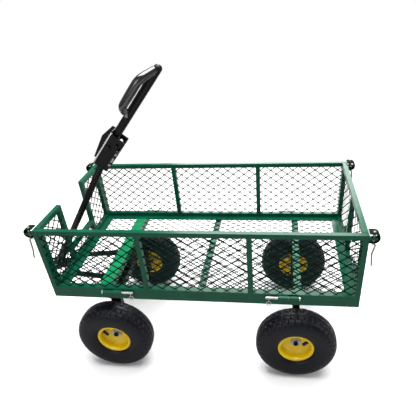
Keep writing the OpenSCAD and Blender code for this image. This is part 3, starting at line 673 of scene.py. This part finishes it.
# %% Bent rods
ROOT_X, ROOT_Y = MID_X - 332.5, 80.0
NOSE_X, NOSE_Y = MID_X - 523, 57.0
DRAW_R = 10.0
drawbar = rounded_path([[ROOT_X, ROOT_Y, DRAW_Z], [NOSE_X, NOSE_Y, DRAW_Z],
                        [NOSE_X, -NOSE_Y, DRAW_Z], [ROOT_X, -ROOT_Y, DRAW_Z]], [0, 30, 30, 0], steps=14)
piece("drawbar_bent_tube", [sweep(drawbar, circle(DRAW_R, 32), Z)], BLACK, "front_axle", ["drawbar"])

LATCH_X, LATCH_Y, LATCH_Z = 487.0, 234.0, 552.0
LATCH_PIN_R, LATCH_WIRE_R = 4.0, 2.6
# Each rod turns freely in its loop and was bent by hand, so no two tails hang alike: [outward, up]
TAILS = {"near_front": [[0, -14], [8, -20], [11, -59], [17, -88]],
         "near_rear": [[0, -14], [7, -20], [1, -50], [5, -88]],
         "far_front": [[0, -14], [5, -20], [-2, -54], [2, -88]],
         "far_rear": [[0, -14], [9, -24], [11, -44], [13, -86]]}
for side, y in (("near", -1), ("far", 1)):
    for end, x in (("front", -1), ("rear", 1)):
        at = np.array([MID_X + x * LATCH_X, y * LATCH_Y, LATCH_Z])
        pin = at + np.array([[0, 0, z] for z in (23, 22, -17, -18)])
        tail_path = [[x * out, 0, up] for out, up in TAILS[side + "_" + end]]
        tail = at + even_path(rounded_path(tail_path, [0, 8, 12, 0]), 3)
        tail, tail_width = round_ends(tail, LATCH_WIRE_R, 4)
        name = side + "_" + end + "_latch"
        piece(name + "_wire", [sweep(pin, circle(LATCH_PIN_R, 20), Y, [0.75, 1, 1, 0.8]),
                               sweep(tail, circle(LATCH_WIRE_R, 14), Y, tail_width)],
              WIRE, name, [name + "_rod"])

# %% [markdown]
# ## Latch loops
# Each latch rod runs in a loop of flat strap that is bent round two wide corners and welded to the end
# panel's post. A flat outline with broken edges is carried along the loop.

# %% Loops of strap
LOOP_IN, LOOP_OUT, LOOP_Y = 474.6, 500.9, 228.2
LOOP_BOTTOM, LOOP_TOP, LOOP_BEND = 542.1, 570.0, 13.0
# Half of the strap's width and thickness, and how far its edges are broken
STRAP_WIDE, STRAP_THICK, STRAP_EDGE = 12.6, 1.9, 1.0


def strap_loop(x, y):
    """The loop at one corner of the bed. x and y are -1 or 1."""
    flat = rounded_path([[-STRAP_WIDE, -STRAP_THICK], [STRAP_WIDE, -STRAP_THICK],
                         [STRAP_WIDE, STRAP_THICK], [-STRAP_WIDE, STRAP_THICK]], STRAP_EDGE, closed=True,
                        steps=3)
    loop = rounded_path([[LOOP_IN, LOOP_Y, LOOP_TOP], [LOOP_OUT, LOOP_Y, LOOP_TOP],
                         [LOOP_OUT, LOOP_Y, LOOP_BOTTOM], [LOOP_IN, LOOP_Y, LOOP_BOTTOM]],
                        [0, LOOP_BEND, LOOP_BEND, 0], steps=10)
    return sweep(loop * [x, y, 1] + [MID_X, 0, 0], flat, Y)


for name, end, body in (("front", -1, "bed"), ("tailgate", 1, "tailgate")):
    piece(name + "_latch_loops", [strap_loop(end, -1), strap_loop(end, 1)], MESH_GREEN, body,
          [name + "_latch_brackets"])

# %% [markdown]
# ## Weld beads
# The frames are welded, and a bead runs where one tube meets another. A bead is a small rippled fillet: its
# radius rises and falls with each drop of the weld.

# %% Welds
DROP = 2.6


def bead(p, q, radius):
    """A rippled bead from p to q, with one ripple for each drop and thin ends."""
    p, q = np.asarray(p, float), np.asarray(q, float)
    length = np.linalg.norm(q - p)
    s = np.linspace(0, 1, int(length / 0.8) + 3)
    ripple = 0.85 + 0.15 * np.sin(s * length / DROP * 2 * np.pi)
    taper = np.minimum(1, 12 * np.minimum(s, 1 - s) + 0.3)
    return sweep(p + s[:, None] * (q - p), circle(1.0, 10), Z, radius * ripple * taper)


inner_y = HALF_WIDTH - TUBE
for side, sign in (("near", -1), ("far", 1)):
    beads = []
    for x in (-POST, POST):
        for edge in (-TUBE / 2, TUBE / 2):
            for z in (PANEL_LOW, BAY_TOP):
                at = MID_X + x + edge
                beads.append(bead([at, sign * (inner_y + 2), z], [at, sign * (HALF_WIDTH - 2), z], 1.8))
    piece(side + "_side_welds", beads, GREEN, side + "_side")

# On the axles, beads run along both sides of each rear leg, the inside of each front leg, and across the
# drawbar's roots
rear_z, front_z, root_z = 293.0, 250.0, DRAW_Z + DRAW_R
rear_beads = [bead([REAR_AXLE_X - 10, y, rear_z], [REAR_AXLE_X + 10, y, rear_z], 2.2)
              for y in (-LEG_Y - LEG_WIDTH, -LEG_Y, LEG_Y, LEG_Y + LEG_WIDTH)]
piece("rear_axle_welds", rear_beads, BLACK, "bed")
front_beads = [bead([FRONT_AXLE_X - 16, y, front_z], [FRONT_AXLE_X + 16, y, front_z], 2.2)
               for y in (-LEG_Y, LEG_Y)]
front_beads += [bead([ROOT_X, y - 8, root_z], [ROOT_X, y + 8, root_z], 2.4) for y in (-ROOT_Y, ROOT_Y)]
piece("front_axle_welds", front_beads, BLACK, "front_axle")

# %% [markdown]
# ## Floor, light and camera
# A plain pale floor, a wide light above, one behind that glances off the top faces, and weaker ones at the
# front and the side. The top faces of the rails are then bright and their sides dark. The floor and the
# surround are white to the camera's own rays and dimmer to all others.

# %% Stage
FLOOR = 30
floor_corners = [(-FLOOR, -FLOOR, 0), (FLOOR, -FLOOR, 0), (FLOOR, FLOOR, 0), (-FLOOR, FLOOR, 0)]
floor_mesh = bpy.data.meshes.new("floor")
floor_mesh.from_pydata(floor_corners, [], [(0, 1, 2, 3)])
floor = bpy.data.objects.new("floor", floor_mesh)
bpy.context.scene.collection.objects.link(floor)
paper = bpy.data.materials.new("pale_matt_floor")
paper.use_nodes = True
tree = paper.node_tree
tree.nodes.clear()
seen = add(tree, "ShaderNodeLightPath").outputs["Is Camera Ray"]
# Pale to the eye and darker to the cart, so that little light comes back up from it
shade = add(tree, "ShaderNodeMapRange", {"Value": seen, "To Min": 0.38, "To Max": 0.93})
place = add(tree, "ShaderNodeTexCoord").outputs["Object"]
reach = add(tree, "ShaderNodeVectorMath", {0: place}, operation="LENGTH").outputs["Value"]
# Away from the cart it turns to plain white, so that no horizon shows
fade = add(tree, "ShaderNodeMapRange", {"Value": reach, "From Min": 0.7, "From Max": 2.2},
           interpolation_type="SMOOTHSTEP").outputs["Result"]
glow = add(tree, "ShaderNodeMath", {0: fade, 1: seen}, operation="MULTIPLY").outputs["Value"]
matt = add(tree, "ShaderNodeBsdfDiffuse", {"Color": shade.outputs["Result"]})
white = add(tree, "ShaderNodeEmission", {"Strength": 1.0})
both = add(tree, "ShaderNodeMixShader", {0: glow, 1: matt.outputs["BSDF"], 2: white.outputs["Emission"]})
add(tree, "ShaderNodeOutputMaterial", {"Surface": both.outputs["Shader"]})
floor_mesh.materials.append(paper)

world = bpy.data.worlds.new("pale surround")
bpy.context.scene.world = world
world.use_nodes = True
# White to the eye, but dim as a light, so that upright faces stay dark
seen = add(world.node_tree, "ShaderNodeLightPath").outputs["Is Camera Ray"]
strength = add(world.node_tree, "ShaderNodeMapRange", {"Value": seen, "To Min": 0.28, "To Max": 1.0})
surround = world.node_tree.nodes["Background"]
surround.inputs["Color"].default_value = (1.0, 1.0, 1.0, 1.0)
world.node_tree.links.new(strength.outputs["Result"], surround.inputs["Strength"])


def light(name, place, target, size, power):
    """A square soft light at place that faces target. Places and size are in metres, power in watts."""
    lamp = bpy.data.lights.new(name, "AREA")
    lamp.size = size
    lamp.energy = power
    made = bpy.data.objects.new(name, lamp)
    made.location = place
    made.rotation_euler = (Vector(target) - Vector(place)).to_track_quat("-Z", "Y").to_euler()
    bpy.context.scene.collection.objects.link(made)


light("overhead", (0.2, 0.3, 3.2), (0, 0, 0.3), 3.0, 230)
light("behind", (0.1, 3.4, 2.6), (0, 0, 0.5), 2.4, 110)
light("front_fill", (-1.2, -3.0, 1.6), (0, 0, 0.4), 2.0, 22)
light("side_fill", (3.0, -0.6, 1.8), (0, 0, 0.4), 1.5, 14)

# %% Camera
AZIMUTH, ELEVATION, ROLL = (math.radians(v) for v in (-9.773, 33.088, -4.576))
PLACE = np.array([MID_X + 243.7, -1148.8, 1164.4]) * MM
FOCAL, SENSOR = 34.945, 36.0
SHIFT_X, SHIFT_Y = -0.0331, 0.0628
forward = Vector((math.sin(AZIMUTH) * math.cos(ELEVATION), math.cos(AZIMUTH) * math.cos(ELEVATION),
                  -math.sin(ELEVATION)))
level = Vector((math.cos(AZIMUTH), -math.sin(AZIMUTH), 0))
above = level.cross(forward)
right = math.cos(ROLL) * level + math.sin(ROLL) * above
up = -math.sin(ROLL) * level + math.cos(ROLL) * above
camera_data = bpy.data.cameras.new("camera")
camera_data.lens = FOCAL
camera_data.sensor_width = SENSOR
camera_data.shift_x = SHIFT_X
camera_data.shift_y = SHIFT_Y
camera = bpy.data.objects.new("camera", camera_data)
bpy.context.scene.collection.objects.link(camera)
camera.matrix_world = Matrix.Translation(PLACE) @ Matrix((right, up, -forward)).transposed().to_4x4()
bpy.context.scene.camera = camera
bpy.context.scene.view_settings.view_transform = "Standard"
